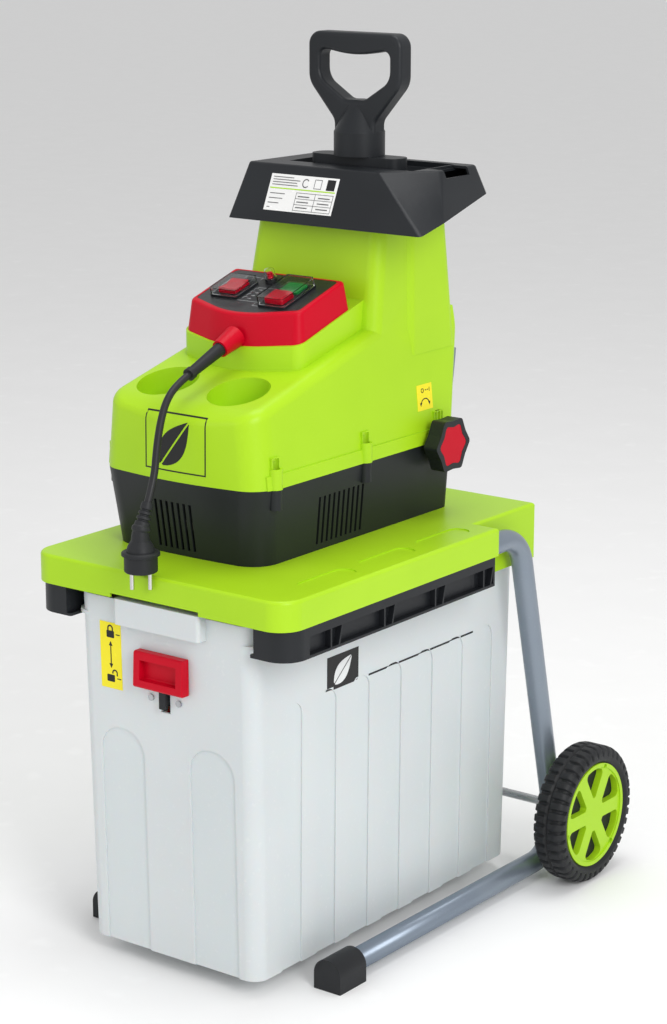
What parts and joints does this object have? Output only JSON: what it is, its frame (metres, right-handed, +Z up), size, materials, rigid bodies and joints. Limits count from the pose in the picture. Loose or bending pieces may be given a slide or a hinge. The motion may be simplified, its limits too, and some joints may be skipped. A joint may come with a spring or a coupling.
{
  "type": "wood chipper",
  "caption": "Electric silent garden shredder: lime and black housing with hopper and plunger on a wheeled tube frame, over a pull-out translucent collection box.",
  "frame": {"origin": "on the floor under the middle of the machine, box and cord at rest", "axes": "+X to the machine's right where the adjusting knob is, +Y to the rear where the wheels are, +Z up"},
  "size_m": [0.45, 0.6415, 0.992],
  "materials": {
    "lime_plastic": "lime green moulded ABS, light satin gloss",
    "black_plastic": "black moulded plastic with fine grain",
    "crimson_plastic": "crimson moulded ABS, satin gloss",
    "green_button": "green push button",
    "box_plastic": "translucent white polypropylene",
    "clear_plastic": "clear flexible cover",
    "tube_steel": "grey powder coated steel tube",
    "steel": "bright steel",
    "tyre_rubber": "hard black tyre compound with tread",
    "rubber": "soft black rubber",
    "cord_sheath": "black cord sheath",
    "yellow_label": "yellow printed sticker with pictograms",
    "white_label": "white printed sticker with grey rows",
    "nickel": "nickel plated pins",
    "lamination": "stacked laminations with copper windings",
    "cast_aluminium": "cast aluminium",
    "gear_steel": "hardened gear steel with oil film",
    "bronze": "sintered bronze bearing rings",
    "white_can": "white capacitor can"
  },
  "bodies": {
    "chassis": {"axle": "steel", "axle_caps": "black_plastic", "breaker_body": "black_plastic", "control_bezel": "crimson_plastic", "control_panel": "black_plastic", "cutter_housing": "cast_aluminium", "deck_cover": "lime_plastic", "direction_cover": "clear_plastic", "direction_switch": "black_plastic", "feed_chute": "black_plastic", "foot_left": "rubber", "foot_right": "rubber", "frame_bolts": "steel", "gearbox_case": "cast_aluminium", "hopper_rim": "black_plastic", "housing_screws": "steel", "lower_housing": "black_plastic", "mains_cord": "cord_sheath", "motor_stator": "lamination", "plug_body": "black_plastic", "plug_pins": "nickel", "power_switch": "black_plastic", "rail_left": "black_plastic", "rail_right": "black_plastic", "rating_label": "white_label", "rear_plate": "steel", "run_capacitor": "white_can", "safety_switch": "black_plastic", "shaft_bearings": "bronze", "side_frame_left": "tube_steel", "side_frame_right": "tube_steel", "side_label": "yellow_label", "strain_relief": "rubber", "upper_housing": "lime_plastic"},
    "wheel_left": {"hub_left": "lime_plastic", "tyre_left": "tyre_rubber"},
    "wheel_right": {"hub_right": "lime_plastic", "tyre_right": "tyre_rubber"},
    "collection_box": {"collection_box": "box_plastic", "latch_screws": "steel", "latch_label": "yellow_label"},
    "latch": {"latch_slider": "crimson_plastic", "latch_stem": "black_plastic"},
    "plunger": {"plunger_handle": "black_plastic", "plunger_paddle": "black_plastic"},
    "adjusting_knob": {"adjusting_knob": "black_plastic", "knob_inlay": "crimson_plastic", "adjusting_screw": "steel"},
    "pressure_plate": {"pressure_plate": "cast_aluminium"},
    "rotor": {"motor_rotor": "lamination", "motor_fan": "black_plastic"},
    "layshaft": {"intermediate_gear": "gear_steel"},
    "roller": {"cutting_roller": "gear_steel", "roller_gear": "gear_steel"},
    "direction_rocker": {"direction_rocker": "crimson_plastic"},
    "stop_button": {"stop_button": "crimson_plastic"},
    "start_button": {"start_button": "green_button"},
    "breaker_button": {"breaker_button": "crimson_plastic"},
    "power_cover": {"power_cover": "clear_plastic"}
  },
  "joints": [
    {"name": "wheel_left_spin", "type": "hinge", "parent": "chassis", "child": "wheel_left", "pos_m": [-0.2, 0.226, 0.0822], "axis": [1, 0, 0], "continuous": true},
    {"name": "wheel_right_spin", "type": "hinge", "parent": "chassis", "child": "wheel_right", "pos_m": [0.2, 0.226, 0.0822], "axis": [1, 0, 0], "continuous": true},
    {"name": "box_slide", "type": "slide", "parent": "chassis", "child": "collection_box", "axis": [0, -1, 0], "range_m": [0, 0.45]},
    {"name": "latch_slide", "type": "slide", "parent": "collection_box", "child": "latch", "axis": [0, 0, 1], "range_m": [0, 0.018]},
    {"name": "plunger_lift", "type": "slide", "parent": "chassis", "child": "plunger", "axis": [0, 0, 1], "range_m": [0, 0.26]},
    {"name": "knob_turn", "type": "hinge", "parent": "chassis", "child": "adjusting_knob", "pos_m": [0.096, 0.093, 0.537], "axis": [1, 0, 0], "range_deg": [0, 900]},
    {"name": "plate_feed", "type": "slide", "parent": "chassis", "child": "pressure_plate", "axis": [1, 0, 0], "range_m": [0, 0.00438]},
    {"name": "rotor_spin", "type": "hinge", "parent": "chassis", "child": "rotor", "pos_m": [-0.028, -0.15, 0.532], "axis": [0, 1, 0], "continuous": true},
    {"name": "layshaft_spin", "type": "hinge", "parent": "chassis", "child": "layshaft", "pos_m": [-0.06616, -0.05, 0.55585], "axis": [0, 1, 0], "continuous": true},
    {"name": "roller_spin", "type": "hinge", "parent": "chassis", "child": "roller", "pos_m": [-0.00156, 0.06, 0.53233], "axis": [0, 1, 0], "continuous": true},
    {"name": "direction_rock", "type": "hinge", "parent": "chassis", "child": "direction_rocker", "pos_m": [-0.073, -0.07441, 0.7163], "axis": [1, 0, 0], "range_deg": [-6, 6]},
    {"name": "stop_press", "type": "slide", "parent": "chassis", "child": "stop_button", "axis": [0, 0.2961, -0.9552], "range_m": [0, 0.003], "stiffness_N_per_m": 200},
    {"name": "start_press", "type": "slide", "parent": "chassis", "child": "start_button", "axis": [0, 0.2961, -0.9552], "range_m": [0, 0.003], "stiffness_N_per_m": 200},
    {"name": "breaker_press", "type": "slide", "parent": "chassis", "child": "breaker_button", "axis": [0, 0.2961, -0.9552], "range_m": [0, 0.003], "stiffness_N_per_m": 200},
    {"name": "power_cover_lift", "type": "hinge", "parent": "chassis", "child": "power_cover", "pos_m": [0.0005, -0.05093, 0.73666], "axis": [-1, 0, 0], "range_deg": [0, 95]}
  ],
  "couplings": [
    {"joint": "rotor_spin", "follows": "roller_spin", "ratio": 20},
    {"joint": "layshaft_spin", "follows": "roller_spin", "ratio": -4},
    {"joint": "plate_feed", "follows": "knob_turn", "m_per_rad": 0.00027852}
  ]
}
